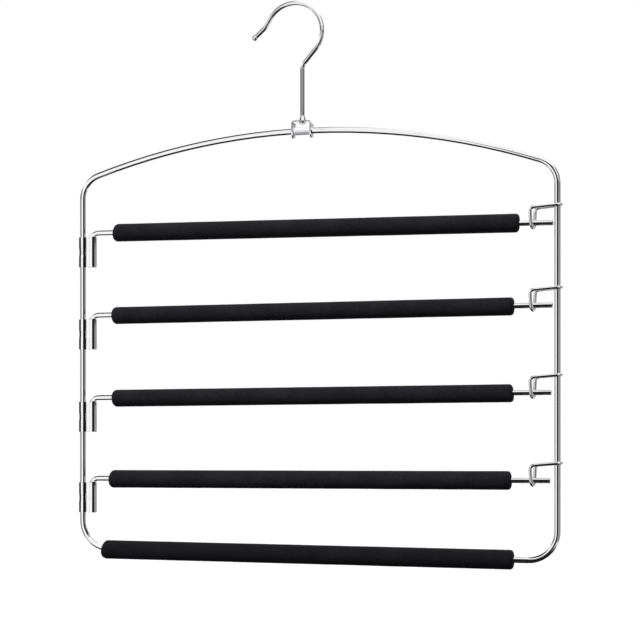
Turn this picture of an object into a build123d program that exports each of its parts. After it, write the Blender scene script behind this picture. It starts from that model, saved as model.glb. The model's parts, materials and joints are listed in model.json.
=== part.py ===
"""Multi tier trouser hanger: a bent wire frame on a swivelling rail hook, with four
foam covered arms that lift out of their catches and swing clear, over a fixed foam
covered bottom bar. Millimetres, +Z up, +X towards the catches, +Y away from the front.
The origin is where the rail bears inside the hook, straight above the swivel axis."""

import os
from math import acos, asin, atan2, cos, degrees, radians, sin, sqrt, tan

from build123d import *

# Frame: one closed loop of round wire
frame_wire_dia = 4.8
side_spacing = 383.8
bottom_drop = 57.0
bottom_fall_angle = 0.22
arch_radius = 562.0
top_corner_radius = 19.5
bottom_corner_radius = 22.0
frame_offset = 7.1

# Rail hook, bent from thinner wire, with a cone above the saddle and a peened head below
hook_wire_dia = 3.5
hook_arc_radius = 22.5
hook_arc_offset = 6.6
hook_rise = 78.0
hook_throat_angle = 41.0
hook_nose_angle = 148.0
hook_nose_length = 9.3
hook_tip_angle = 41.0
hook_tip_length = 11.0
hook_tip_ball_dia = 4.5
hook_stem_bend_radius = 8.0
hook_tip_bend_radius = 10.0
hook_cone_dia = 6.1
hook_cone_height = 3.8
hook_head_dia = 6.0
hook_head_height = 2.0
swivel_radial_play = 0.1
swivel_bearing_play = 0.1
swivel_lift_play = 0.3

# Saddle: a folded strap whose two ears ride on the arch
saddle_sheet = 1.0
saddle_width = 15.8
saddle_depth = 9.0
saddle_height = 7.8
saddle_bend_radius = 2.4
saddle_ear_drop = 5.7
saddle_hole_play = 0.1

# Plastic liner on the wire between the ears
liner_dia = 6.3
liner_play = 0.05
liner_end_play = 0.2

# Swinging arms
arm_count = 4
arm_rod_dia = 4.2
arm_first_drop = 75.3
arm_pitch = 66.2
arm_settle = 1.0
arm_settle_shares = (0.15, 0.5, 1.0, 0.0)
arm_bend_radius = 6.3
arm_end_gap = 2.2
arm_end_gap_shares = (0.2, 0.42, 0.87, 1.25)
arm_end_chamfer = 0.5
arm_rise_angles = (-0.25, 0.45, 0.6, 0.42)

# Pivot sleeves: one sheet folded into a barrel on the frame wire and a barrel for the leg
sleeve_sheet = 0.75
sleeve_height = 24.3
sleeve_wire_play = 0.1
leg_barrel_bore = 6.4
leg_barrel_lean = 0.6
sleeve_web_gap = 0.7
sleeve_ply_gap = 0.15
sleeve_web_fillet = 0.3
sleeve_seat_gap = 0.3
crimp_depth = 0.3
crimp_roll_radius = 1.4
crimp_waist_radius = 26.0

# Catches: a bent wire cradle welded round the far side wire
catch_wire_dia = 2.5
catch_inset = 18.6
catch_rod_play = 0.3
catch_height = 11.5
catch_corner_radius = 3.2
catch_spread_angle = 8.0
catch_skew_angle = 15.0
catch_rise_angle = 5.0
catch_weld_depth = 0.7
catch_weld_pinch = 0.1

# Foam sleeves
foam_dia = 14.0
foam_near_gap = 17.0
foam_far_gap = 13.9
foam_slip_shares = (0.0085, 0.0, -0.002, -0.0065)
foam_play = 0.05
foam_blunt_radius = 4.4
foam_cut_radius = 2.4
bottom_foam_dia = 15.0
bottom_foam_lap = 4.5
bottom_foam_far_gap = 10.75

# One overrun for every cutting tool
overrun = 2.0

# Places worked out from the sizes above
frame_wire_radius = frame_wire_dia / 2
left_x = frame_offset - side_spacing / 2
right_x = frame_offset + side_spacing / 2
hook_inner_radius = hook_arc_radius - hook_wire_dia / 2
hook_arc_x = -hook_arc_offset
hook_arc_z = -sqrt(hook_inner_radius**2 - hook_arc_offset**2)
arch_z = hook_arc_z - hook_rise
arch_centre_z = arch_z - arch_radius
bottom_z = arch_z - arm_first_drop - (arm_count - 1) * arm_pitch - bottom_drop
corner_reach = side_spacing / 2 - top_corner_radius
top_corner_z = arch_centre_z + sqrt((arch_radius - top_corner_radius) ** 2 - corner_reach**2)
arch_end_angle = degrees(atan2(top_corner_z - arch_centre_z, corner_reach))
wire_barrel_bore = frame_wire_dia + 2 * sleeve_wire_play
wire_barrel_radius = wire_barrel_bore / 2 + sleeve_sheet
leg_barrel_radius = leg_barrel_bore / 2 + sleeve_sheet
leg_barrel_x = left_x + wire_barrel_radius + sleeve_web_gap + leg_barrel_radius
leg_x = leg_barrel_x - leg_barrel_lean
arm_rod_radius = arm_rod_dia / 2
bend_inner_seat = arm_bend_radius - arm_rod_radius - sleeve_seat_gap
rod_over_sleeve = arm_bend_radius - sqrt(
    bend_inner_seat**2 - (arm_bend_radius - leg_barrel_lean - leg_barrel_bore / 2) ** 2
)
catch_x = right_x - catch_inset
catch_wire_radius = catch_wire_dia / 2
catch_cradle_radius = arm_rod_radius + catch_rod_play + catch_wire_radius
catch_turn_radius = frame_wire_radius + catch_wire_radius - catch_weld_pinch
foam_length = catch_x - leg_x - foam_near_gap - foam_far_gap
foam_middle_x = leg_x + foam_near_gap + foam_length / 2


def arch_height(x):
    """Height of the arch's wire axis at x."""
    return arch_centre_z + sqrt(arch_radius**2 - (x - frame_offset) ** 2)


def tier_height(tier):
    """Height of an arm's axis where it leaves its leg."""
    return arch_z - arm_first_drop - tier * arm_pitch - arm_settle * arm_settle_shares[tier]


def bottom_height(x):
    """Height of the bottom run's axis at x; it falls a little towards the catches."""
    return bottom_z - (x - frame_offset) * tan(radians(bottom_fall_angle))


def foot_centre_z(x):
    """Height of the bend's centre for a bottom corner centred at x."""
    return bottom_height(x) + bottom_corner_radius / cos(radians(bottom_fall_angle))


def foot_point(x):
    """Point where the bottom run meets the bend of a bottom corner centred at x."""
    fall = radians(bottom_fall_angle)
    return x - bottom_corner_radius * sin(fall), foot_centre_z(x) - bottom_corner_radius * cos(fall)


def rod_height(tier, x):
    """Height of an arm's axis at x."""
    return tier_height(tier) + (x - leg_x) * tan(radians(arm_rise_angles[tier]))


def sleeve_top(tier):
    """Height of a pivot sleeve's upper rim, on which the arm's bend seats."""
    return tier_height(tier) - rod_over_sleeve


def flat_arc(centre_x, centre_z, radius, start, end):
    """Arc in the frame's plane, from one angle to another, in degrees."""
    return Plane.XZ * CenterArc((centre_x, centre_z), radius, start, end - start)


def flat_line(start, end):
    """Line in the frame's plane between two (x, z) points."""
    return Plane.XZ * Line(start, end)


def round_sweep(path, radius):
    """Round bar of one radius along a path."""
    section = Plane(origin=path @ 0, z_dir=path % 0) * Circle(radius)
    return sweep(section, path=path)


def ring_of(section_radius, ring_radius, height):
    """Ring round the near side wire at a height."""
    return Pos(left_x, 0, height) * Torus(ring_radius, section_radius)


def frame_path():
    """Closed centre line of the frame wire."""
    left_corner_x = left_x + top_corner_radius
    right_corner_x = right_x - top_corner_radius
    left_foot_x = left_x + bottom_corner_radius
    right_foot_x = right_x - bottom_corner_radius
    left_foot_z = foot_centre_z(left_foot_x)
    right_foot_z = foot_centre_z(right_foot_x)
    return Wire(
        [
            flat_line(foot_point(left_foot_x), foot_point(right_foot_x)),
            flat_arc(
                right_foot_x, right_foot_z, bottom_corner_radius, -90 - bottom_fall_angle, 0
            ),
            flat_line((right_x, right_foot_z), (right_x, top_corner_z)),
            flat_arc(right_corner_x, top_corner_z, top_corner_radius, 0, arch_end_angle),
            flat_arc(
                frame_offset, arch_centre_z, arch_radius, arch_end_angle, 180 - arch_end_angle
            ),
            flat_arc(left_corner_x, top_corner_z, top_corner_radius, 180 - arch_end_angle, 180),
            flat_line((left_x, top_corner_z), (left_x, left_foot_z)),
            flat_arc(left_foot_x, left_foot_z, bottom_corner_radius, 180, 270 - bottom_fall_angle),
        ]
    )


def arch_piece(half_width):
    """Stretch of the arch's centre line, to both sides of the swivel axis."""
    start = 90 + degrees(asin((frame_offset - half_width) / arch_radius))
    end = 90 + degrees(asin((frame_offset + half_width) / arch_radius))
    return flat_arc(frame_offset, arch_centre_z, arch_radius, start, end)


def make_frame_wire():
    """The loop, with a rolled groove for each pivot sleeve's crimp."""
    wire = round_sweep(frame_path(), frame_wire_radius)
    for tier in range(arm_count):
        groove_z = sleeve_top(tier) - sleeve_height / 2
        groove = ring_of(
            crimp_roll_radius + sleeve_wire_play,
            frame_wire_radius - crimp_depth + crimp_roll_radius + sleeve_wire_play,
            groove_z,
        )
        wire -= groove
    return wire


def hook_path():
    """Centre line of the hook from the top of its cone to the tip."""
    throat = radians(-hook_throat_angle)
    nose = radians(hook_nose_angle)
    throat_point = (
        hook_arc_x + hook_arc_radius * cos(throat),
        hook_arc_z + hook_arc_radius * sin(throat),
    )
    nose_point = (
        hook_arc_x + hook_arc_radius * cos(nose),
        hook_arc_z + hook_arc_radius * sin(nose),
    )
    stem_corner = (0, throat_point[1] + throat_point[0] / tan(throat))
    tip_corner = (
        nose_point[0] - hook_nose_length * sin(nose),
        nose_point[1] + hook_nose_length * cos(nose),
    )
    tip = (
        tip_corner[0] - hook_tip_length * cos(radians(hook_tip_angle)),
        tip_corner[1] - hook_tip_length * sin(radians(hook_tip_angle)),
    )
    stem_foot = (0, cone_foot_z() + hook_cone_height)
    stem = FilletPolyline(stem_foot, stem_corner, throat_point, radius=hook_stem_bend_radius)
    end = FilletPolyline(nose_point, tip_corner, tip, radius=hook_tip_bend_radius)
    bow = flat_arc(hook_arc_x, hook_arc_z, hook_arc_radius, -hook_throat_angle, hook_nose_angle)
    return Wire([*(Plane.XZ * stem).edges(), *bow.edges(), *(Plane.XZ * end).edges()])


def plate_top_z():
    """Upper face of the saddle's plate."""
    return arch_height(0) + saddle_height


def head_top_z():
    """Upper face of the peened head, on which the plate hangs."""
    return plate_top_z() - saddle_sheet - swivel_bearing_play


def cone_foot_z():
    """Underside of the hook's cone, a little above the plate."""
    return plate_top_z() + swivel_lift_play


def make_hook():
    """Hook wire with a rounded tip, a cone over the plate and a peened head under it."""
    path = hook_path()
    wire_radius = hook_wire_dia / 2
    head_radius = hook_head_dia / 2
    head_top = head_top_z()
    head_under = head_top - hook_head_height
    foot_turn = Polyline(
        (0, head_under),
        (0, cone_foot_z() + hook_cone_height),
        (wire_radius, cone_foot_z() + hook_cone_height),
        (hook_cone_dia / 2, cone_foot_z()),
        (wire_radius, cone_foot_z()),
        (wire_radius, head_top),
        (head_radius, head_top),
    )
    dome_radius = (head_radius**2 + hook_head_height**2) / (2 * hook_head_height)
    half_turn = asin(head_radius / dome_radius) / 2
    dome = ThreePointArc(
        (head_radius, head_top),
        (dome_radius * sin(half_turn), head_under + dome_radius * (1 - cos(half_turn))),
        (0, head_under),
    )
    foot = revolve(Plane.XZ * make_face([*foot_turn.edges(), dome]), Axis.Z)
    tip = Pos(*(path @ 1)) * Sphere(hook_tip_ball_dia / 2)
    return foot + round_sweep(path, wire_radius) + tip


def make_saddle():
    """Strap folded over the arch, drilled for the swivel and for the wire."""
    top = plate_top_z()
    ear_end = arch_height(0) - saddle_ear_drop
    half = saddle_width / 2
    fold = Polyline((-half, ear_end), (-half, top), (half, top), (half, ear_end))
    outer = make_face([*fold.edges(), Line((half, ear_end), (-half, ear_end))])
    outer = fillet(outer.vertices().group_by(Axis.Y)[-1], saddle_bend_radius)
    inner_half = half - saddle_sheet
    inner = Pos(0, (top - saddle_sheet + ear_end - overrun) / 2) * Rectangle(
        2 * inner_half, top - saddle_sheet - ear_end + overrun
    )
    inner = fillet(inner.vertices().group_by(Axis.Y)[-1], saddle_bend_radius - saddle_sheet)
    strap = extrude(Plane.XZ * (outer - inner), saddle_depth / 2, both=True)
    ear_radius = saddle_depth / 2
    ear_height = top - ear_end - ear_radius
    ear_side = Pos(0, ear_end + ear_radius + ear_height / 2) * Rectangle(saddle_depth, ear_height)
    ear_side += Pos(0, ear_end + ear_radius) * Circle(ear_radius)
    strap &= extrude(Plane.YZ * ear_side, half, both=True)
    strap -= Pos(0, 0, top - saddle_sheet / 2) * Cylinder(
        hook_wire_dia / 2 + swivel_radial_play, saddle_sheet + overrun
    )
    return strap - round_sweep(arch_piece(half + overrun), frame_wire_radius + saddle_hole_play)


def make_liner():
    """Split free plastic tube on the wire, filling the space between the ears."""
    half = saddle_width / 2 - saddle_sheet - liner_end_play
    tube = round_sweep(arch_piece(half), liner_dia / 2)
    return tube - round_sweep(arch_piece(half + overrun), frame_wire_radius + liner_play)


def make_pivot_sleeve(tier):
    """Sheet folded round the wire and the leg, pinched between them and crimped."""
    top = sleeve_top(tier)
    middle = top - sleeve_height / 2
    web_half = sleeve_sheet + sleeve_ply_gap / 2
    plan = Pos(left_x, 0) * Circle(wire_barrel_radius)
    plan += Pos(leg_barrel_x, 0) * Circle(leg_barrel_radius)
    plan += Pos((left_x + leg_barrel_x) / 2, 0) * Rectangle(leg_barrel_x - left_x, 2 * web_half)
    corners = [v for v in plan.vertices() if abs(abs(v.Y) - web_half) < sleeve_ply_gap / 2]
    plan = fillet(corners, sleeve_web_fillet)
    plan -= Pos(left_x, 0) * Circle(wire_barrel_bore / 2)
    plan -= Pos(leg_barrel_x, 0) * Circle(leg_barrel_bore / 2)
    sleeve = extrude(Pos(0, 0, top - sleeve_height) * plan, sleeve_height)
    waist_ring_radius = wire_barrel_radius - crimp_depth + crimp_waist_radius
    waist = ring_of(crimp_waist_radius, waist_ring_radius, middle)
    web_start = left_x + wire_barrel_radius - sleeve_sheet / 2
    waist -= Pos(web_start, 0, middle) * Box(
        2 * leg_barrel_radius + waist_ring_radius,
        2 * (leg_barrel_radius + waist_ring_radius),
        sleeve_height,
        align=(Align.MIN, Align.CENTER, Align.CENTER),
    )
    bead_ring_radius = frame_wire_radius - crimp_depth + sleeve_wire_play + crimp_roll_radius
    bead = ring_of(crimp_roll_radius, bead_ring_radius, middle)
    bead &= Pos(left_x, 0, middle) * Cylinder((wire_barrel_bore + sleeve_sheet) / 2, sleeve_height)
    slit = Pos((left_x + leg_barrel_x) / 2, 0, middle) * Box(
        leg_barrel_x - left_x, sleeve_ply_gap, sleeve_height + overrun
    )
    return sleeve - waist + bead - slit


def make_arm_rod(tier):
    """Arm wire: a leg in the sleeve, one bend, and the bar to its free end."""
    leg_end = (leg_x, sleeve_top(tier) - sleeve_height)
    corner = (leg_x, tier_height(tier))
    end_x = right_x - frame_wire_radius - arm_end_gap * arm_end_gap_shares[tier]
    free_end = (end_x, rod_height(tier, end_x))
    path = Plane.XZ * FilletPolyline(leg_end, corner, free_end, radius=arm_bend_radius)
    rod = round_sweep(path, arm_rod_radius)
    ends = rod.edges().sort_by(Axis.X)[-1:] + rod.edges().sort_by(Axis.Z)[:1]
    return chamfer(ends, arm_end_chamfer)


def foam_sleeve(length, outer_dia, bore_dia):
    """Foam tube on the X axis, centred, blunt at its near end and cut square at the far one."""
    outer = Rectangle(length, outer_dia / 2, align=(Align.CENTER, Align.MIN))
    outer = fillet(outer.vertices().group_by(Axis.Y)[-1].sort_by(Axis.X)[:1], foam_blunt_radius)
    outer = fillet(outer.vertices().group_by(Axis.Y)[-1].sort_by(Axis.X)[-1:], foam_cut_radius)
    outer -= Rectangle(length + overrun, bore_dia / 2, align=(Align.CENTER, Align.MIN))
    return revolve(Plane.XZ * outer, Axis.X)


def make_arm_foam(tier):
    """Foam sleeve pushed on to an arm, lying along its slope."""
    x = foam_middle_x + foam_slip_shares[tier] * foam_length
    sleeve = foam_sleeve(foam_length, foam_dia, arm_rod_dia + 2 * foam_play)
    return Pos(x, 0, rod_height(tier, x)) * Rot(0, -arm_rise_angles[tier], 0) * sleeve


def make_bottom_foam():
    """Foam sleeve on the bottom run, which laps on to the near corner."""
    corner_x = left_x + bottom_corner_radius
    far_end_x = right_x - bottom_corner_radius - bottom_foam_far_gap
    bend_end = 270 - bottom_fall_angle
    lap_start = bend_end - degrees(bottom_foam_lap / bottom_corner_radius)
    path = Wire(
        [
            flat_arc(
                corner_x, foot_centre_z(corner_x), bottom_corner_radius, lap_start, bend_end
            ),
            flat_line(foot_point(corner_x), (far_end_x, bottom_height(far_end_x))),
        ]
    )
    foam = round_sweep(path, bottom_foam_dia / 2)
    foam = fillet(foam.edges().sort_by(Axis.X)[:1], foam_blunt_radius)
    foam = fillet(foam.edges().sort_by(Axis.X)[-1:], foam_cut_radius)
    return foam - round_sweep(frame_path(), frame_wire_radius + foam_play)


def catch_leg(rod_z, skew):
    """Half of the cradle under the rod and the end of the leg that leans away from it."""
    lean = radians(catch_spread_angle)
    half_turn = (radians(90) - lean) / 2
    fall = sin(skew) * tan(radians(catch_rise_angle))

    def place(out, up):
        """Point at a distance out from the cradle's middle and at a height over the rod."""
        return Vector(catch_x - out * sin(skew), -out * cos(skew), rod_z + up)

    low = place(0, -catch_cradle_radius)
    middle = place(catch_cradle_radius * sin(half_turn), -catch_cradle_radius * cos(half_turn))
    out = catch_cradle_radius * cos(lean)
    up = -catch_cradle_radius * sin(lean)
    rise = (catch_height - up - out * fall) / (1 + tan(lean) * fall)
    leg_start = place(out, up)
    leg_end = place(out + rise * tan(lean), up + rise)
    return ThreePointArc(low, middle, leg_start), leg_start, leg_end


def catch_half(rod_z, skew):
    """Front half of a catch: half the cradle, its leg, the top run and half the hairpin."""
    cradle, leg_start, leg_end = catch_leg(rod_z, skew)
    slope = radians(catch_rise_angle)
    top = Plane(
        origin=(catch_x, 0, rod_z + catch_height),
        x_dir=(cos(slope), 0, sin(slope)),
        z_dir=(-sin(slope), 0, cos(slope)),
    )
    turn_x = (right_x - catch_weld_depth - catch_x) / cos(slope)
    run = turn_x - (leg_end.X - catch_x) / cos(slope)
    reach = sqrt(run**2 + leg_end.Y**2)
    inward = acos(catch_turn_radius / reach) - atan2(run, -leg_end.Y)

    def on_turn(angle):
        """Point of the hairpin's bend at an angle from its front, seen from above."""
        return top.from_local_coords(
            (turn_x + catch_turn_radius * sin(angle), -catch_turn_radius * cos(angle), 0)
        )

    leg = FilletPolyline(leg_start, leg_end, on_turn(inward), radius=catch_corner_radius)
    turn = ThreePointArc(
        on_turn(inward), on_turn((inward + radians(90)) / 2), on_turn(radians(90))
    )
    return round_sweep(Wire([cradle, *leg.edges(), turn]), catch_wire_radius)


def make_catch(tier):
    """Wire cradle: a skewed U under the rod, two leaning legs and a hairpin round the side wire."""
    rod_z = rod_height(tier, catch_x)
    skew = radians(catch_skew_angle)
    return catch_half(rod_z, skew) + mirror(catch_half(rod_z, -skew), Plane.XZ)


def all_nodes():
    """Every piece by its node's name."""
    nodes = {
        "frame_wire": make_frame_wire(),
        "hook": make_hook(),
        "hook_saddle": make_saddle(),
        "wire_liner": make_liner(),
        "bottom_foam": make_bottom_foam(),
    }
    for tier in range(arm_count):
        number = tier + 1
        nodes[f"pivot_sleeve_{number}"] = make_pivot_sleeve(tier)
        nodes[f"arm_{number}_rod"] = make_arm_rod(tier)
        nodes[f"arm_{number}_foam"] = make_arm_foam(tier)
        nodes[f"catch_{number}"] = make_catch(tier)
    return nodes


os.makedirs("parts", exist_ok=True)
for name, solid in all_nodes().items():
    export_step(solid, f"parts/{name}.step")
    print(name, "volume", round(solid.volume, 1))
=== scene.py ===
"""Looks of the multi tier trouser hanger: plated wire and folded sheet, cut foam sleeves and
a soft plastic liner, on a plain white stage. Metres, +Z up, +X towards the catches."""

import json
import logging
import math
from dataclasses import dataclass, field
from enum import Enum
from typing import Callable, Iterable, Sequence

import bmesh
import bpy
from mathutils import Matrix, Vector


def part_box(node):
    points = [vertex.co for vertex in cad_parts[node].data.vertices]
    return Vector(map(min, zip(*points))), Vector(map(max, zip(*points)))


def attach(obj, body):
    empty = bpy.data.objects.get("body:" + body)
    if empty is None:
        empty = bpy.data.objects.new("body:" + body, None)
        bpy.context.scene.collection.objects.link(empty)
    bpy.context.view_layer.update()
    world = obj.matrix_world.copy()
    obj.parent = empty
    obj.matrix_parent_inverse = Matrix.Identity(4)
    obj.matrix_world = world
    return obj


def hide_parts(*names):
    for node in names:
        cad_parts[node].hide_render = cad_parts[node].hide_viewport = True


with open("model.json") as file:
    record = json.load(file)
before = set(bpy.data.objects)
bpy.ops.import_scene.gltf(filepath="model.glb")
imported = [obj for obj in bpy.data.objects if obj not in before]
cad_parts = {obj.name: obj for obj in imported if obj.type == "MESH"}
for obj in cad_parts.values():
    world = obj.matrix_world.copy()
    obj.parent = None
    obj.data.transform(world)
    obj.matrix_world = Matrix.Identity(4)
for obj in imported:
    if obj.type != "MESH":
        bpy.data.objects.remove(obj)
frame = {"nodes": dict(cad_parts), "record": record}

MM = 0.001
LOG = logging.getLogger("trouser_hanger")
Colour = tuple[float, float, float]
Band = tuple[float, float]

# How far from a CAD node's last vertex its other vertices still belong to that end.
END_TOUCH = 1.0 * MM
# How near to a tube's end plane, and how far out of its radius, a vertex of the outer rim lies.
RIM_TOUCH = 0.01 * MM
RIM_SHARE = 0.98
# How squarely a face looks along the tube where it closes an end.
END_FACING = 0.9
# Colour sockets of a mix, by number, because sockets for plain numbers have the same names.
MIX_FIRST, MIX_SECOND, MIX_RESULT = 6, 7, 2


class Slot(Enum):
    """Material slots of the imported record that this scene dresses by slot."""

    FRAME = "frame_chrome"
    HOOK = "hook_chrome"
    SHEET = "sheet_chrome"
    ARM = "arm_chrome"
    CATCH = "catch_chrome"
    FOAM = "black_foam"


class Grain(Enum):
    """Run of the drawing marks in the plating, as the pattern's scale along X, Y and Z."""

    ALONG_X = (0.12, 1.0, 1.0)
    NONE = (1.0, 1.0, 1.0)


class End(Enum):
    """The two ends of a foam sleeve, as their side along X."""

    NEAR = -1
    FAR = 1


class LampKind(Enum):
    """Kinds of lamp that light the stage."""

    SUN = "SUN"
    BOX = "AREA"


class NodeSheet:
    """A material's node tree, with short calls for the nodes that the finishes share."""

    def __init__(self, tree: bpy.types.NodeTree) -> None:
        """Empties a node tree and keeps it.

        Args:
            tree: the tree of a material or of the world.
        """
        self.tree = tree
        self.tree.nodes.clear()

    def node(self, kind: str, **settings: object) -> bpy.types.Node:
        """Adds a node and sets its properties.

        Args:
            kind: the node's type name.
            settings: properties of the node.

        Returns:
            The new node.
        """
        made = self.tree.nodes.new(kind)
        for name, value in settings.items():
            setattr(made, name, value)
        return made

    def link(self, source: bpy.types.NodeSocket, target: bpy.types.NodeSocket) -> None:
        """Joins an output to an input."""
        self.tree.links.new(source, target)

    def fill(self, socket: bpy.types.NodeSocket, value: object) -> None:
        """Links an input, or writes a number or colour into it.

        Args:
            socket: the input.
            value: an output's socket, or what is written.
        """
        if isinstance(value, bpy.types.NodeSocket):
            self.link(value, socket)
        else:
            socket.default_value = value

    def finish(self, shader: bpy.types.NodeSocket,
               kind: str = "ShaderNodeOutputMaterial") -> None:
        """Links the last shader to a new output node of the given kind."""
        self.link(shader, self.node(kind).inputs["Surface"])

    def maths(self, operation: str, *values: object, clamp: bool = False) -> bpy.types.NodeSocket:
        """Adds a step of arithmetic.

        Args:
            operation: the step's operation.
            values: sockets or numbers, in the order of the inputs.
            clamp: whether the result is held between 0 and 1.

        Returns:
            The result's socket.
        """
        made = self.node("ShaderNodeMath", operation=operation, use_clamp=clamp)
        for socket, value in zip(made.inputs, values):
            self.fill(socket, value)
        return made.outputs[0]

    def spread(self, value: object, low: float, high: float) -> bpy.types.NodeSocket:
        """Maps 0 to 1 on to low to high.

        Args:
            value: socket or number to map.
            low: result at 0.
            high: result at 1.

        Returns:
            The result's socket.
        """
        made = self.node("ShaderNodeMapRange")
        self.fill(made.inputs["Value"], value)
        made.inputs["To Min"].default_value = low
        made.inputs["To Max"].default_value = high
        return made.outputs["Result"]

    def step(self, value: object, start: float, end: float) -> bpy.types.NodeSocket:
        """Smooth step from 0 at start to 1 at end.

        Args:
            value: socket or number that is tested.
            start: where the step begins.
            end: where it ends, which may be below its start.

        Returns:
            The result's socket.
        """
        made = self.node("ShaderNodeMapRange", interpolation_type="SMOOTHSTEP")
        self.fill(made.inputs["Value"], value)
        made.inputs["From Min"].default_value = start
        made.inputs["From Max"].default_value = end
        return made.outputs["Result"]

    def noise(self, place: bpy.types.NodeSocket, scale: float, detail: float,
              rough: float = 0.5) -> bpy.types.NodeSocket:
        """Adds a noise pattern.

        Args:
            place: coordinates to read.
            scale: patches per metre.
            detail: octaves.
            rough: strength of the finer octaves.

        Returns:
            The pattern's value socket.
        """
        made = self.node("ShaderNodeTexNoise")
        self.link(place, made.inputs["Vector"])
        made.inputs["Scale"].default_value = scale
        made.inputs["Detail"].default_value = detail
        made.inputs["Roughness"].default_value = rough
        return made.outputs["Fac"]

    def blend(self, share: object, first: Colour,
              second: Colour | bpy.types.NodeSocket) -> bpy.types.NodeSocket:
        """Mixes two colours.

        Args:
            share: how much of the second colour shows.
            first: the colour at 0.
            second: the colour at 1, or its socket.

        Returns:
            The mixed colour's socket.
        """
        made = self.node("ShaderNodeMix", data_type="RGBA")
        self.fill(made.inputs["Factor"], share)
        made.inputs[MIX_FIRST].default_value = (*first, 1.0)
        linked = isinstance(second, bpy.types.NodeSocket)
        self.fill(made.inputs[MIX_SECOND], second if linked else (*second, 1.0))
        return made.outputs[MIX_RESULT]

    def bump(self, height: bpy.types.NodeSocket, distance: float, strength: float = 1.0,
             under: bpy.types.NodeSocket | None = None) -> bpy.types.NodeSocket:
        """Adds a bump from a height pattern.

        Args:
            height: the pattern.
            distance: height of the pattern in metres.
            strength: share of that height.
            under: a bump that this one lies on.

        Returns:
            The normal's socket.
        """
        made = self.node("ShaderNodeBump")
        self.link(height, made.inputs["Height"])
        made.inputs["Distance"].default_value = distance
        made.inputs["Strength"].default_value = strength
        if under is not None:
            self.link(under, made.inputs["Normal"])
        return made.outputs["Normal"]

    def object_place(self, scale: Sequence[float] = (1.0, 1.0, 1.0)) -> bpy.types.NodeSocket:
        """Adds object coordinates.

        Args:
            scale: stretch along each axis.

        Returns:
            The coordinates' socket.
        """
        mapping = self.node("ShaderNodeMapping")
        self.link(self.node("ShaderNodeTexCoord").outputs["Object"], mapping.inputs["Vector"])
        mapping.inputs["Scale"].default_value = scale
        return mapping.outputs["Vector"]

    def surroundings(self, strength: object) -> bpy.types.NodeSocket:
        """Adds white surroundings.

        Args:
            strength: a number, or the socket that gives it by direction.

        Returns:
            Their shader's socket.
        """
        made = self.node("ShaderNodeBackground")
        made.inputs["Color"].default_value = (1.0, 1.0, 1.0, 1.0)
        self.fill(made.inputs["Strength"], strength)
        return made.outputs[0]

    def switch(self, share: bpy.types.NodeSocket, first: bpy.types.NodeSocket,
               second: bpy.types.NodeSocket) -> bpy.types.NodeSocket:
        """Mixes two shaders.

        Args:
            share: 0 for the first one, 1 for the second one.
            first: a shader's socket.
            second: another shader's socket.

        Returns:
            The mixed shader's socket.
        """
        made = self.node("ShaderNodeMixShader")
        for socket, value in zip(made.inputs, (share, first, second)):
            self.link(value, socket)
        return made.outputs[0]


def new_material(name: str, preview: Colour) -> tuple[bpy.types.Material, NodeSheet]:
    """Makes an empty node material.

    Args:
        name: the material's name.
        preview: colour in the solid view.

    Returns:
        The material and its node sheet.
    """
    material = bpy.data.materials.new(name)
    material.use_nodes = True
    material.diffuse_color = (*preview, 1.0)
    return material, NodeSheet(material.node_tree)


@dataclass(frozen=True)
class ChromeFinish:
    """Bright plating over drawn wire or pressed sheet."""

    name: str
    grain: Grain = Grain.NONE
    bright: Colour = (0.93, 0.93, 0.94)
    cloudy: Colour = (0.84, 0.85, 0.87)
    polish: Band = (0.035, 0.11)
    cloud_scale: float = 45.0
    cloud_detail: float = 4.0
    cloud_band: Band = (0.5, 0.72)
    cloud_haze: float = 0.7
    mark_scale: float = 1400.0
    mark_detail: float = 3.0
    mark_rough: float = 0.6
    mark_height: float = 0.0006 * MM
    mark_haze: float = 0.3
    wave_scale: float = 60.0
    wave_detail: float = 1.0
    wave_height: float = 0.03 * MM
    pit_scale: float = 900.0
    pit_detail: float = 1.0
    pit_band: Band = (0.79, 0.85)

    def material(self) -> bpy.types.Material:
        """Builds the finish: clouded plating, drawing marks, slow waves and fine pits.

        Returns:
            The material.
        """
        material, sheet = new_material(self.name, self.bright)
        shader = sheet.node("ShaderNodeBsdfPrincipled")
        shader.inputs["Metallic"].default_value = 1.0
        plain = sheet.object_place()
        cloud = sheet.noise(plain, self.cloud_scale, self.cloud_detail)
        pits = sheet.noise(plain, self.pit_scale, self.pit_detail)
        waves = sheet.noise(plain, self.wave_scale, self.wave_detail)
        drawn = sheet.object_place(self.grain.value)
        marks = sheet.noise(drawn, self.mark_scale, self.mark_detail, self.mark_rough)
        clouded, pitted = sheet.step(cloud, *self.cloud_band), sheet.step(pits, *self.pit_band)
        share = sheet.maths("ADD", clouded, pitted, clamp=True)
        sheet.link(sheet.blend(share, self.bright, self.cloudy), shader.inputs["Base Color"])
        haze = sheet.maths(
            "ADD",
            sheet.maths("MULTIPLY", cloud, self.cloud_haze),
            sheet.maths("MULTIPLY", marks, self.mark_haze),
        )
        sheet.link(sheet.spread(haze, *self.polish), shader.inputs["Roughness"])
        slow = sheet.bump(waves, self.wave_height)
        fine = sheet.bump(marks, self.mark_height, under=slow)
        sheet.link(fine, shader.inputs["Normal"])
        sheet.finish(shader.outputs["BSDF"])
        return material


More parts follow.
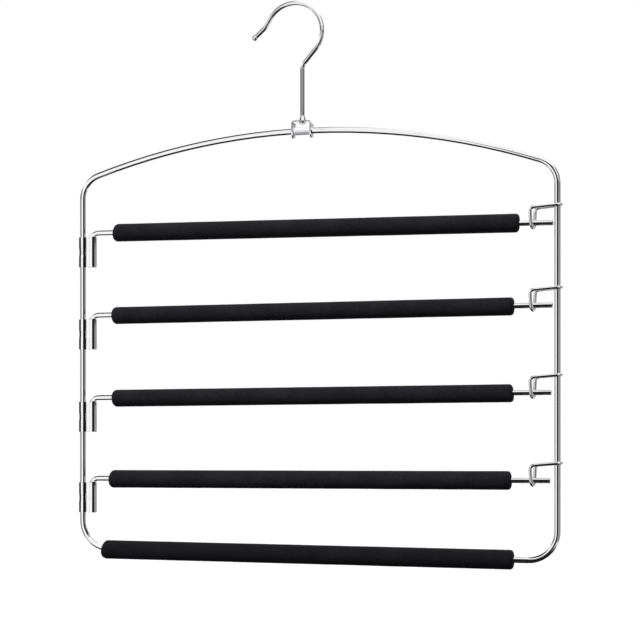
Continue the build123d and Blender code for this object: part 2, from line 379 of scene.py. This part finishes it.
@dataclass(frozen=True)
class FoamFinish:
    """Black closed cell foam: a dull skin over fine cells."""

    name: str
    skin: Colour = (0.0125, 0.0118, 0.0165)
    worn: Colour = (0.0185, 0.0178, 0.0235)
    # Painted shade in the open cells: the colour that their middles darken to.
    painted_cell_shade: Colour = (0.0040, 0.0038, 0.0055)
    dull: Band = (0.62, 0.88)
    shine: float = 0.14
    sheen: float = 0.02
    sheen_rough: float = 0.5
    patch_scale: float = 55.0
    patch_detail: float = 5.0
    patch_rough: float = 0.6
    patch_band: Band = (0.38, 0.7)
    skin_scale: float = 420.0
    skin_detail: float = 3.0
    skin_rough: float = 0.55
    skin_height: float = 0.16 * MM
    skin_strength: float = 0.8
    cell_scale: float = 1500.0
    cell_band: Band = (0.12, 0.55)
    cell_height: float = 0.10 * MM
    cell_strength: float = 0.9

    def material(self) -> bpy.types.Material:
        """Builds the finish: mottled skin, open cells with painted shade darkening their hollows,
        and their relief.

        Returns:
            The material.
        """
        material, sheet = new_material(self.name, self.skin)
        shader = sheet.node("ShaderNodeBsdfPrincipled")
        shader.inputs["Specular IOR Level"].default_value = self.shine
        shader.inputs["Sheen Weight"].default_value = self.sheen
        shader.inputs["Sheen Roughness"].default_value = self.sheen_rough
        place = sheet.object_place()
        patches = sheet.noise(place, self.patch_scale, self.patch_detail, self.patch_rough)
        skin = sheet.noise(place, self.skin_scale, self.skin_detail, self.skin_rough)
        cells = sheet.node("ShaderNodeTexVoronoi", feature="F1")
        sheet.link(place, cells.inputs["Vector"])
        cells.inputs["Scale"].default_value = self.cell_scale
        depth = sheet.step(cells.outputs["Distance"], *self.cell_band)
        tone = sheet.blend(sheet.step(patches, *self.patch_band), self.skin, self.worn)
        # Painted shade: each cell's middle darkens towards the cell colour, standing in for shade
        # in its hollow.
        sheet.link(sheet.blend(depth, self.painted_cell_shade, tone), shader.inputs["Base Color"])
        sheet.link(sheet.spread(skin, *self.dull), shader.inputs["Roughness"])
        coarse = sheet.bump(skin, self.skin_height, self.skin_strength)
        fine = sheet.bump(depth, self.cell_height, self.cell_strength, coarse)
        sheet.link(fine, shader.inputs["Normal"])
        sheet.finish(shader.outputs["BSDF"])
        return material


@dataclass(frozen=True)
class LinerFinish:
    """Milky plastic tube that grips the wire inside the saddle."""

    name: str
    milk: Colour = (0.86, 0.86, 0.94)
    shade: Colour = (0.80, 0.80, 0.89)
    dull: Band = (0.3, 0.5)
    shine: float = 0.4
    # Strength of a painted glow in the plastic's own colour: painted light, not a lamp.
    glow: float = 0.16
    scatter: float = 0.6
    scatter_tint: Colour = (1.0, 1.0, 1.2)
    scatter_depth: float = 2.5 * MM
    patch_scale: float = 320.0
    patch_detail: float = 3.0
    patch_band: Band = (0.45, 0.75)
    grain_scale: float = 1500.0
    grain_detail: float = 2.0
    grain_height: float = 0.02 * MM
    grain_strength: float = 0.7

    def material(self) -> bpy.types.Material:
        """Builds the finish: cloudy plastic with a soft, slightly uneven surface, and a faint
        painted glow that lifts its shaded side.

        Returns:
            The material.
        """
        material, sheet = new_material(self.name, self.milk)
        shader = sheet.node("ShaderNodeBsdfPrincipled")
        shader.inputs["Subsurface Weight"].default_value = self.scatter
        shader.inputs["Subsurface Radius"].default_value = self.scatter_tint
        shader.inputs["Subsurface Scale"].default_value = self.scatter_depth
        shader.inputs["Specular IOR Level"].default_value = self.shine
        # Painted light: the plastic glows faintly in its own colour, lifting the shade on its lower
        # side.
        shader.inputs["Emission Color"].default_value = (*self.milk, 1.0)
        shader.inputs["Emission Strength"].default_value = self.glow
        place = sheet.object_place()
        patches = sheet.noise(place, self.patch_scale, self.patch_detail)
        grain = sheet.noise(place, self.grain_scale, self.grain_detail)
        share = sheet.step(patches, *self.patch_band)
        sheet.link(sheet.blend(share, self.milk, self.shade), shader.inputs["Base Color"])
        sheet.link(sheet.spread(grain, *self.dull), shader.inputs["Roughness"])
        relief = sheet.bump(grain, self.grain_height, self.grain_strength)
        sheet.link(relief, shader.inputs["Normal"])
        sheet.finish(shader.outputs["BSDF"])
        return material


class Bench:
    """Edit mode work on one mesh at a time, with selection by place."""

    @staticmethod
    def clear() -> None:
        """Leaves edit mode and deselects everything."""
        if bpy.context.mode != "OBJECT":
            bpy.ops.object.mode_set(mode="OBJECT")
        bpy.ops.object.select_all(action="DESELECT")

    @staticmethod
    def hold(piece: bpy.types.Object) -> None:
        """Makes one piece the active and only selected one.

        Args:
            piece: the piece to work on.
        """
        Bench.clear()
        piece.select_set(True)
        bpy.context.view_layer.objects.active = piece

    @staticmethod
    def edit(piece: bpy.types.Object) -> None:
        """Opens a piece in edit mode with nothing selected.

        Args:
            piece: the piece to shape.
        """
        Bench.hold(piece)
        bpy.ops.object.mode_set(mode="EDIT")
        bpy.ops.mesh.select_all(action="DESELECT")

    @staticmethod
    def close() -> None:
        """Goes back to object mode."""
        bpy.ops.object.mode_set(mode="OBJECT")

    @staticmethod
    def pick_faces(piece: bpy.types.Object, wanted: Callable[[bmesh.types.BMFace], bool]) -> None:
        """Selects the faces that a test names and no others.

        Args:
            piece: the piece in edit mode.
            wanted: the test.
        """
        bpy.ops.mesh.select_mode(type="FACE")
        mesh = bmesh.from_edit_mesh(piece.data)
        for face in mesh.faces:
            face.select_set(wanted(face))
        mesh.select_flush(False)
        bmesh.update_edit_mesh(piece.data)

    @staticmethod
    def pick_edges(piece: bpy.types.Object, wanted: Callable[[bmesh.types.BMEdge], bool]) -> None:
        """Selects the edges that a test names and no others.

        Args:
            piece: the piece in edit mode.
            wanted: the test.
        """
        bpy.ops.mesh.select_mode(type="EDGE")
        mesh = bmesh.from_edit_mesh(piece.data)
        for edge in mesh.edges:
            edge.select_set(False)
        for edge in [edge for edge in mesh.edges if wanted(edge)]:
            edge.select_set(True)
        bmesh.update_edit_mesh(piece.data)

    @staticmethod
    def settle(piece: bpy.types.Object) -> None:
        """Writes a piece's place into its mesh, so that its object sits at the origin."""
        Bench.hold(piece)
        bpy.ops.object.transform_apply(location=True, rotation=True, scale=True)


def end_centre(node: str, end: End) -> Vector:
    """Centre of a long CAD node's end.

    Args:
        node: the CAD node's name.
        end: which end is wanted.

    Returns:
        The middle of the vertices within a millimetre of that end.
    """
    points = [vertex.co for vertex in frame["nodes"][node].data.vertices]
    edge = end.value * max(point.x * end.value for point in points)
    near = [point for point in points if abs(point.x - edge) < END_TOUCH]
    low = Vector([min(point[axis] for point in near) for axis in range(3)])
    high = Vector([max(point[axis] for point in near) for axis in range(3)])
    return (low + high) / 2


@dataclass
class FoamSleeve:
    """A cut length of foam tube pushed on to a wire, blunt at one end and cut at the other.

    Trims, reaches and sags move its ends from those of its CAD node.
    """

    name: str
    node: str
    body: str
    wire_radius: float
    near_round: float = 3.7 * MM
    far_round: float = 2.6 * MM
    near_dish: float = 1.0 * MM
    far_dish: float = 2.0 * MM
    end_flat: float = 0.35 * MM
    bore_depth: float = 6.0 * MM
    near_trim: float = 0.0
    far_reach: float = 0.0
    near_sag: float = 0.0
    far_sag: float = 0.0
    swell: float = 0.0
    near_slant: float = 0.0
    far_slant: float = 0.0
    slant_reach: float = 12.0 * MM
    wander: float = 0.16 * MM
    wander_size: float = 30.0 * MM
    ripple: float = 0.06 * MM
    ripple_size: float = 3.5 * MM
    skin_octaves: int = 2
    skin_level: float = 0.55
    sides: int = 72
    rings: int = 220
    rim_steps: int = 9
    lap_angle: float = 0.0
    lap_radius: float = 0.0
    tightness: float = 0.9
    radius: float = field(init=False)
    near: Vector = field(init=False)
    far: Vector = field(init=False)

    def __post_init__(self) -> None:
        """Reads place and thickness from the CAD node, then adds the sleeve's own unevenness."""
        low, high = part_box(self.node)
        self.radius = (high.y - low.y) / 2 + self.swell
        self.near = end_centre(self.node, End.NEAR)
        self.near += Vector((self.near_trim, 0.0, -self.near_sag))
        self.far = end_centre(self.node, End.FAR)
        self.far += Vector((self.far_reach, 0.0, -self.far_sag))

    @property
    def length(self) -> float:
        """Length from cut to cut."""
        return (self.far - self.near).length

    def closes(self, face: bmesh.types.BMFace, end: End) -> bool:
        """Whether a face closes an end."""
        reach = face.calc_center_median().x * end.value
        return face.normal.x * end.value > END_FACING and reach > self.length / 4

    def make_tube(self) -> bpy.types.Object:
        """Adds the plain tube along X, centred, with its mouths and rounded ends.

        Returns:
            The tube.
        """
        Bench.clear()
        bpy.ops.mesh.primitive_cylinder_add(
            vertices=self.sides, radius=self.radius, depth=self.length, end_fill_type="NGON",
            rotation=(0.0, math.pi / 2, 0.0),
        )
        tube = bpy.context.active_object
        tube.name = self.name
        Bench.settle(tube)
        ends = (
            (End.NEAR, self.near_round, self.near_dish),
            (End.FAR, self.far_round, self.far_dish),
        )
        for end, rounding, dish in ends:
            self.cut_mouth(tube, end, rounding + self.end_flat, dish)
            self.round_end(tube, end, rounding)
        return tube

    def cut_mouth(self, tube: bpy.types.Object, end: End, rim: float, dish: float) -> None:
        """Dishes an end round the wire and takes the bore a little way in.

        Args:
            tube: the tube.
            end: which end is cut.
            rim: width of the flat ring that stays round the dish.
            dish: depth of the dish at the wire.
        """
        Bench.edit(tube)
        Bench.pick_faces(tube, lambda face: self.closes(face, end))
        bpy.ops.mesh.inset(thickness=rim)
        bpy.ops.mesh.inset(thickness=self.radius - rim - self.wire_radius, depth=-dish)
        bpy.ops.mesh.extrude_region_move(
            TRANSFORM_OT_translate={"value": (-end.value * self.bore_depth, 0.0, 0.0)}
        )
        Bench.close()

    def round_end(self, tube: bpy.types.Object, end: End, rounding: float) -> None:
        """Rounds the outer rim of an end.

        Args:
            tube: the tube.
            end: which end is rounded.
            rounding: radius of the rim.
        """
        place = end.value * self.length / 2
        outer = self.radius * RIM_SHARE

        def on_rim(edge: bmesh.types.BMEdge) -> bool:
            """Whether an edge lies on the end's outer rim."""
            return all(
                abs(v.co.x - place) < RIM_TOUCH and math.hypot(v.co.y, v.co.z) > outer
                for v in edge.verts
            )

        Bench.edit(tube)
        Bench.pick_edges(tube, on_rim)
        bpy.ops.mesh.bevel(offset=rounding, segments=self.rim_steps, profile=0.5, affect="EDGES")
        Bench.close()

    def divide(self, tube: bpy.types.Object) -> None:
        """Cuts the long sides into rings, close enough to carry the foam's unevenness.

        Args:
            tube: the tube with its ends finished.
        """
        Bench.edit(tube)
        reach = self.length / 2
        Bench.pick_edges(tube, lambda edge: edge.calc_length() > reach)
        bpy.ops.mesh.subdivide(number_cuts=self.rings)
        Bench.close()

    def slant(self, tube: bpy.types.Object) -> None:
        """Tilts both cuts a little, as a knife leaves them, fading out along the tube.

        Args:
            tube: the divided tube.
        """
        start = self.length / 2 - self.slant_reach
        for end, angle in ((End.NEAR, self.near_slant), (End.FAR, self.far_slant)):
            for vertex in tube.data.vertices:
                share = min(max((vertex.co.x * end.value - start) / self.slant_reach, 0.0), 1.0)
                vertex.co.x += vertex.co.z * math.tan(angle) * share * share

    def roughen(self, tube: bpy.types.Object) -> None:
        """Lets the skin wander slowly and ripple finely, as extruded foam does.

        Args:
            tube: the divided tube.
        """
        layers = (
            ("wander", self.wander, self.wander_size),
            ("ripple", self.ripple, self.ripple_size),
        )
        for label, height, size in layers:
            pattern = bpy.data.textures.new(f"{self.name}_{label}", "CLOUDS")
            pattern.noise_scale = size
            pattern.noise_depth = self.skin_octaves
            Bench.hold(tube)
            bpy.ops.object.modifier_add(type="DISPLACE")
            modifier = tube.modifiers[-1]
            modifier.texture = pattern
            modifier.texture_coords = "LOCAL"
            modifier.strength = height
            modifier.mid_level = self.skin_level
            bpy.ops.object.modifier_apply(modifier=modifier.name)

    def lap(self, tube: bpy.types.Object) -> None:
        """Bends the near end up round the frame's corner, for a sleeve that laps on to it.

        Args:
            tube: the divided tube.
        """
        if not self.lap_angle:
            return
        bend_from = -self.length / 2 + self.lap_radius * math.sin(self.lap_angle)
        for vertex in tube.data.vertices:
            run = bend_from - vertex.co.x
            if run <= 0:
                continue
            angle = run / self.lap_radius
            reach = self.lap_radius - vertex.co.z
            vertex.co.x = bend_from - reach * math.sin(angle)
            vertex.co.z = self.lap_radius - reach * math.cos(angle)

    def put(self, tube: bpy.types.Object) -> None:
        """Moves the tube on to the line between the sleeve's ends.

        Args:
            tube: the finished tube, still centred.
        """
        along = (self.far - self.near).normalized()
        tilt = Matrix.Rotation(-math.atan2(along.z, along.x), 4, "Y")
        tube.data.transform(Matrix.Translation((self.near + self.far) / 2) @ tilt)

    def build(self, finish: bpy.types.Material) -> bpy.types.Object:
        """Models the sleeve and dresses it.

        Args:
            finish: the foam's material.

        Returns:
            The sleeve.
        """
        tube = self.make_tube()
        self.divide(tube)
        self.slant(tube)
        self.roughen(tube)
        self.lap(tube)
        self.put(tube)
        Bench.hold(tube)
        bpy.ops.object.shade_smooth()
        tube.data.materials.clear()
        tube.data.materials.append(finish)
        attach(tube, self.body)
        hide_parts(self.node)
        return tube


@dataclass(frozen=True)
class ArmCut:
    """How one arm's sleeve was cut and pushed on: degrees for its slants, else millimetres."""

    near_slant: float
    far_slant: float
    near_trim: float
    far_reach: float
    near_sag: float
    far_sag: float
    swell: float


@dataclass
class FoamSet:
    """The four arms' sleeves and the one on the bottom run, whose foam is painted darker to stand
    for shade.
    """

    arm_finish: FoamFinish = FoamFinish("foam_black")
    # Painted shade: the bottom sleeve's foam colours are darker than the arms', standing in for
    # shade on the bottom run.
    shaded_bottom_finish: FoamFinish = FoamFinish(
        "foam_black_bottom_painted_shade", skin=(0.0080, 0.0078, 0.0105), worn=(0.0115, 0.0112, 0.0150)
    )
    arm_wire_radius: float = 2.1 * MM
    frame_wire_radius: float = 2.4 * MM
    cuts: tuple[ArmCut, ...] = (
        ArmCut(6.0, 2.0, near_trim=-0.3, far_reach=1.2, near_sag=0.05, far_sag=-0.2, swell=0.15),
        ArmCut(-1.0, 1.5, near_trim=1.2, far_reach=0.0, near_sag=0.75, far_sag=0.4, swell=-0.1),
        ArmCut(-1.0, -4.0, near_trim=2.1, far_reach=0.1, near_sag=0.8, far_sag=0.3, swell=-0.1),
        ArmCut(5.0, -1.0, near_trim=1.1, far_reach=0.0, near_sag=0.35, far_sag=0.1, swell=0.15),
    )
    bottom_near_round: float = 4.2 * MM
    bottom_near_sag: float = -0.9 * MM
    bottom_lap: float = 4.5 * MM
    corner_radius: float = 22.0 * MM

    def arm_sleeve(self, number: int, cut: ArmCut) -> FoamSleeve:
        """Plans one arm's sleeve.

        Args:
            number: the arm's number, from the top.
            cut: how its sleeve was cut.

        Returns:
            The sleeve, not yet modelled.
        """
        return FoamSleeve(
            name=f"foam_sleeve_{number}", node=f"arm_{number}_foam", body=f"arm_{number}",
            wire_radius=self.arm_wire_radius, swell=cut.swell * MM,
            near_trim=cut.near_trim * MM, far_reach=cut.far_reach * MM,
            near_sag=cut.near_sag * MM, far_sag=cut.far_sag * MM,
            near_slant=math.radians(cut.near_slant), far_slant=math.radians(cut.far_slant),
        )

    def bottom_sleeve(self) -> FoamSleeve:
        """Plans the bottom run's sleeve, which laps on to the frame's corner.

        Returns:
            The sleeve, not yet modelled.
        """
        return FoamSleeve(
            name="foam_sleeve_bottom", node="bottom_foam", body="frame",
            wire_radius=self.frame_wire_radius, near_round=self.bottom_near_round,
            near_sag=self.bottom_near_sag, lap_angle=self.bottom_lap / self.corner_radius,
            lap_radius=self.corner_radius,
        )

    def build(self) -> list[bpy.types.Object]:
        """Models and dresses all five sleeves.

        Returns:
            The sleeves, top to bottom.
        """
        # The bottom sleeve's foam carries painted shade.
        arm_foam, bottom_foam = self.arm_finish.material(), self.shaded_bottom_finish.material()
        arms = [self.arm_sleeve(number, cut) for number, cut in enumerate(self.cuts, start=1)]
        built = [sleeve.build(arm_foam) for sleeve in arms]
        return [*built, self.bottom_sleeve().build(bottom_foam)]


@dataclass
class Metalwork:
    """The CAD pieces that stay as they are and get their plating here."""

    finishes: dict[Slot, ChromeFinish] = field(
        default_factory=lambda: {
            Slot.FRAME: ChromeFinish("frame_plating"),
            Slot.HOOK: ChromeFinish("hook_plating", wave_scale=110.0),
            Slot.SHEET: ChromeFinish(
                "sheet_plating", cloud_scale=90.0, wave_scale=120.0, wave_height=0.02 * MM
            ),
            Slot.ARM: ChromeFinish("arm_plating", grain=Grain.ALONG_X),
            Slot.CATCH: ChromeFinish("catch_plating", wave_scale=150.0),
        }
    )

    def dress(self) -> None:
        """Gives each CAD node of a plated slot its finish."""
        made = {slot.value: finish.material() for slot, finish in self.finishes.items()}
        for part in frame["record"]["subparts"]:
            if part["material_slot"] in made:
                put_material(part["node"], made[part["material_slot"]])


def put_material(node: str, material: bpy.types.Material) -> None:
    """Assigns a material to a CAD node's slots and reports it.

    Args:
        node: the CAD node's name.
        material: its finish.
    """
    piece = frame["nodes"][node]
    if not piece.material_slots:
        piece.data.materials.append(material)
    for slot in piece.material_slots:
        slot.material = material
    LOG.info("%s: %s", node, material.name)


@dataclass(frozen=True)
class Flag:
    """A patch of the surroundings that plating reflects: its place in degrees and its level.

    Azimuth runs from the front (-Y) towards the catches (+X), and height from the horizon up.
    """

    azimuth: float
    half_width: float
    height: float
    half_height: float
    level: float
    soft: float = 8.0
    soft_height: float = 8.0

    def share(self, sheet: NodeSheet, azimuth: bpy.types.NodeSocket,
              height: bpy.types.NodeSocket) -> bpy.types.NodeSocket:
        """How much of a direction the flag covers, from 0 to 1.

        Args:
            sheet: the world's nodes.
            azimuth: the direction's azimuth in degrees.
            height: the direction's height in degrees.

        Returns:
            The share's socket.
        """
        turn = sheet.maths("WRAP", sheet.maths("SUBTRACT", azimuth, self.azimuth), 180.0, -180.0)
        aside = sheet.maths("ABSOLUTE", turn)
        above = sheet.maths("ABSOLUTE", sheet.maths("SUBTRACT", height, self.height))
        across = sheet.step(aside, self.half_width + self.soft, self.half_width - self.soft)
        upward = sheet.step(
            above, self.half_height + self.soft_height, self.half_height - self.soft_height
        )
        return sheet.maths("MULTIPLY", across, upward)


@dataclass(frozen=True)
class Card:
    """An upright card that only the plating sees, standing between two places on the plan."""

    name: str
    start: tuple[float, float]
    end: tuple[float, float]
    low: float
    high: float
    level: float
    back_level: float | None = None

    def build(self) -> None:
        """Stands the card up and lights it evenly, with its back's own level if it has one."""
        run = Vector((self.end[0] - self.start[0], self.end[1] - self.start[1], 0.0))
        middle = Vector(((self.start[0] + self.end[0]) / 2, (self.start[1] + self.end[1]) / 2, 0.0))
        Bench.clear()
        bpy.ops.mesh.primitive_plane_add(
            size=1.0, location=middle + Vector((0.0, 0.0, (self.low + self.high) / 2)),
            rotation=(math.pi / 2, 0.0, math.atan2(run.y, run.x)),
        )
        card = bpy.context.active_object
        card.name = self.name
        card.scale = (run.length, self.high - self.low, 1.0)
        Bench.settle(card)
        material, sheet = new_material(self.name, (self.level,) * 3)
        glow = sheet.node("ShaderNodeEmission")
        glow.inputs["Strength"].default_value = self.level
        if self.back_level is not None:
            behind = sheet.node("ShaderNodeNewGeometry").outputs["Backfacing"]
            sheet.link(sheet.spread(behind, self.level, self.back_level), glow.inputs["Strength"])
        sheet.finish(glow.outputs[0])
        card.data.materials.append(material)
        card.visible_camera = False
        card.visible_diffuse = False
        card.visible_shadow = False
        card.visible_transmission = False


@dataclass(frozen=True)
class PaintedSleeveReflections:
    """Two small cards at each pivot sleeve that paint reflections into its plating: the dark bands
    along its barrels.

    The inner one stands between the barrels, painting a dark reflection on the wire's barrel and a
    white one on the leg's. The outer one stands outside the wire's barrel and paints a dark
    reflection on it. The front is -Y.
    """

    sleeves: int = 4
    inner_aside: float = 8.25 * MM
    inner_start: float = 0.9 * MM
    inner_depth: float = 6.6 * MM
    inner_level: float = 0.005
    inner_back_level: float = 1.0
    outer_gap: float = 1.2 * MM
    outer_back: float = 3.0 * MM
    outer_front: float = 7.5 * MM
    outer_level: float = 0.03

    def cards(self) -> list[Card]:
        """Plans the flags from the places of the pivot sleeves.

        Returns:
            The flags, two to a sleeve.
        """
        flags = []
        for number in range(1, self.sleeves + 1):
            low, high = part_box(f"pivot_sleeve_{number}")
            inner, outer = high.x - self.inner_aside, low.x - self.outer_gap
            # Painted reflections: dark cards standing in the crevice and beside the wire's barrel,
            # seen only by the plating.
            flags.append(Card(
                f"sleeve_flag_{number}", (inner, -self.inner_start),
                (inner, -self.inner_start - self.inner_depth), low=low.z, high=high.z,
                level=self.inner_level, back_level=self.inner_back_level,
            ))
            flags.append(Card(
                f"outer_flag_{number}", (outer, self.outer_back), (outer, -self.outer_front),
                low=low.z, high=high.z, level=self.outer_level,
            ))
        return flags


@dataclass(frozen=True)
class Lamp:
    """A soft lamp that plating doesn't mirror, facing the hanger's middle.

    Its spread is a sun's angle in radians, or a box's side in metres.
    """

    name: str
    kind: LampKind
    place: tuple[float, float, float]
    power: float
    spread: float
    aim: tuple[float, float, float] = (0.0, 0.0, -0.25)

    def build(self) -> None:
        """Hangs the lamp and turns it to the hanger."""
        data = bpy.data.lights.new(self.name, self.kind.value)
        data.energy = self.power
        if self.kind is LampKind.SUN:
            data.angle = self.spread
        else:
            data.size = self.spread
        lamp = bpy.data.objects.new(self.name, data)
        bpy.context.scene.collection.objects.link(lamp)
        lamp.location = self.place
        toward = Vector(self.aim) - Vector(self.place)
        lamp.rotation_euler = toward.to_track_quat("-Z", "Y").to_euler()
        lamp.visible_glossy = False


@dataclass(frozen=True)
class View:
    """The level camera, to the right of the hanger's normal.

    Its lens and sensor are in millimetres.
    """

    centre_x: float = 7.5 * MM
    distance: float = 1298.0 * MM
    yaw: float = math.radians(15.0)
    aside: float = 6.49 * MM
    drop: float = 210.57 * MM
    sensor: float = 36.0
    lens: float = 93.43
    shift_up: float = 0.125
    sight: float = 100.0

    def build(self) -> None:
        """Stands the camera by its distance from a point below the top of the arch."""
        data = bpy.data.cameras.new("camera")
        data.sensor_width = self.sensor
        data.lens = self.lens
        data.shift_y = self.shift_up
        data.clip_end = self.sight
        camera = bpy.data.objects.new("camera", data)
        bpy.context.scene.collection.objects.link(camera)
        toward = Vector((math.sin(self.yaw), -math.cos(self.yaw), 0.0))
        sideways = Vector((math.cos(self.yaw), math.sin(self.yaw), 0.0))
        wire_low, wire_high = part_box("frame_wire")
        arch_z = wire_high.z - (wire_high.y - wire_low.y) / 2
        place = Vector((self.centre_x, 0.0, arch_z - self.drop))
        camera.location = place + toward * self.distance + sideways * self.aside
        camera.rotation_euler = (math.pi / 2, 0.0, self.yaw)
        bpy.context.scene.camera = camera


@dataclass
class Studio:
    """Camera, lamps, floor and the surroundings that the plating reflects."""

    view: View = View()
    lamps: tuple[Lamp, ...] = (
        Lamp("high_sun", LampKind.SUN, (-0.5, -1.3, 1.4), power=1.6, spread=math.radians(30.0)),
        Lamp("near_box", LampKind.BOX, (-0.15, -0.5, 0.4), power=2.0, spread=0.5),
    )
    flags: tuple[Flag, ...] = (
        Flag(0.0, 140.0, height=-6.0, half_height=19.0, level=0.31, soft_height=1.2),
        Flag(-95.0, 42.0, height=14.0, half_height=7.0, level=0.3, soft=12.0, soft_height=2.0),
        Flag(80.0, 45.0, height=14.0, half_height=7.0, level=0.55, soft=20.0, soft_height=2.0),
        Flag(-99.0, 62.0, height=52.0, half_height=20.0, level=0.04, soft=5.0, soft_height=4.0),
        Flag(110.0, 35.0, height=30.0, half_height=14.0, level=0.10),
        Flag(156.0, 9.0, height=-6.0, half_height=24.0, level=0.06, soft=4.0, soft_height=4.0),
    )
    cards: tuple[Card, ...] = (
        Card("white_card", (-0.364, -0.239), (0.005, -0.55), low=-0.64, high=-0.03, level=1.0),
        Card("black_card", (0.035, -0.571), (0.269, -0.121), low=-0.95, high=-0.03, level=0.012),
    )
    painted_sleeve_reflections: PaintedSleeveReflections = PaintedSleeveReflections()
    floor_dark_from: float = -32.0
    floor_dark_soft: float = 8.0
    floor_dark_level: float = 0.02
    sky_level: float = 0.6
    sky_soft: float = 0.25
    ground_level: float = 0.08
    floor_z: float = -0.62
    floor_size: float = 9.0
    floor_colour: Colour = (0.78, 0.78, 0.78)
    floor_lift: float = 0.3

    def plated_level(self, sheet: NodeSheet, axes: bpy.types.Node) -> bpy.types.NodeSocket:
        """Level that the plating finds in a direction: white, less the flags and the floor.

        Args:
            sheet: the world's nodes.
            axes: the direction, split into its axes.

        Returns:
            The level's socket.
        """
        forward = sheet.maths("MULTIPLY", axes.outputs["Y"], -1.0)
        azimuth = sheet.maths("DEGREES", sheet.maths("ARCTAN2", axes.outputs["X"], forward))
        height = sheet.maths("DEGREES", sheet.maths("ARCSINE", axes.outputs["Z"]))
        start, soft = self.floor_dark_from, self.floor_dark_soft
        shades = [(flag.share(sheet, azimuth, height), flag.level) for flag in self.flags]
        shades.append((sheet.step(height, start + soft, start - soft), self.floor_dark_level))
        level: object = 1.0
        for share, dark in shades:
            kept = sheet.maths("SUBTRACT", 1.0, sheet.maths("MULTIPLY", share, 1.0 - dark))
            level = sheet.maths("MULTIPLY", level, kept)
        return level

    def add_world(self) -> None:
        """Builds the surroundings: white to the eye, even for lighting, and flagged for plating."""
        world = bpy.data.worlds.new("studio")
        world.use_nodes = True
        bpy.context.scene.world = world
        sheet = NodeSheet(world.node_tree)
        axes = sheet.node("ShaderNodeSeparateXYZ")
        sheet.link(sheet.node("ShaderNodeTexCoord").outputs["Generated"], axes.inputs["Vector"])
        sky = sheet.step(axes.outputs["Z"], -self.sky_soft, self.sky_soft)
        even = sheet.surroundings(sheet.spread(sky, self.ground_level, self.sky_level))
        plated = sheet.surroundings(self.plated_level(sheet, axes))
        rays = sheet.node("ShaderNodeLightPath")
        unseen = sheet.switch(rays.outputs["Is Glossy Ray"], even, plated)
        every = sheet.switch(rays.outputs["Is Camera Ray"], unseen, sheet.surroundings(1.0))
        sheet.finish(every, "ShaderNodeOutputWorld")

    def add_floor(self) -> None:
        """Lays a white floor below the hanging object that keeps its shadow."""
        Bench.clear()
        bpy.ops.mesh.primitive_plane_add(size=self.floor_size, location=(0.0, 0.0, self.floor_z))
        floor = bpy.context.active_object
        floor.name = "floor"
        material, sheet = new_material("floor_white", (1.0, 1.0, 1.0))
        paint = sheet.node("ShaderNodeBsdfDiffuse")
        paint.inputs["Color"].default_value = (*self.floor_colour, 1.0)
        rays = sheet.node("ShaderNodeLightPath")
        raised = sheet.maths("MULTIPLY", rays.outputs["Is Camera Ray"], self.floor_lift)
        lift = sheet.node("ShaderNodeEmission")
        sheet.link(raised, lift.inputs["Strength"])
        both = sheet.node("ShaderNodeAddShader")
        sheet.link(paint.outputs[0], both.inputs[0])
        sheet.link(lift.outputs[0], both.inputs[1])
        sheet.finish(both.outputs[0])
        floor.data.materials.append(material)
        floor.visible_glossy = False
        floor.visible_diffuse = False

    def build(self) -> None:
        """Sets up the whole stage."""
        bpy.context.scene.view_settings.view_transform = "Standard"
        self.view.build()
        self.add_world()
        for lamp in self.lamps:
            lamp.build()
        self.add_floor()
        for card in (*self.cards, *self.painted_sleeve_reflections.cards()):
            card.build()


def main() -> None:
    """Builds the stage, the foam sleeves and the finishes, in that order."""
    logging.basicConfig(level=logging.INFO, format="%(message)s")
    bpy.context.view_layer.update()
    Studio().build()
    for sleeve in FoamSet().build():
        LOG.info("%s: %d faces", sleeve.name, len(sleeve.data.polygons))
    Metalwork().dress()
    put_material("wire_liner", LinerFinish("liner_milky").material())


if __name__ == "__main__":
    main()
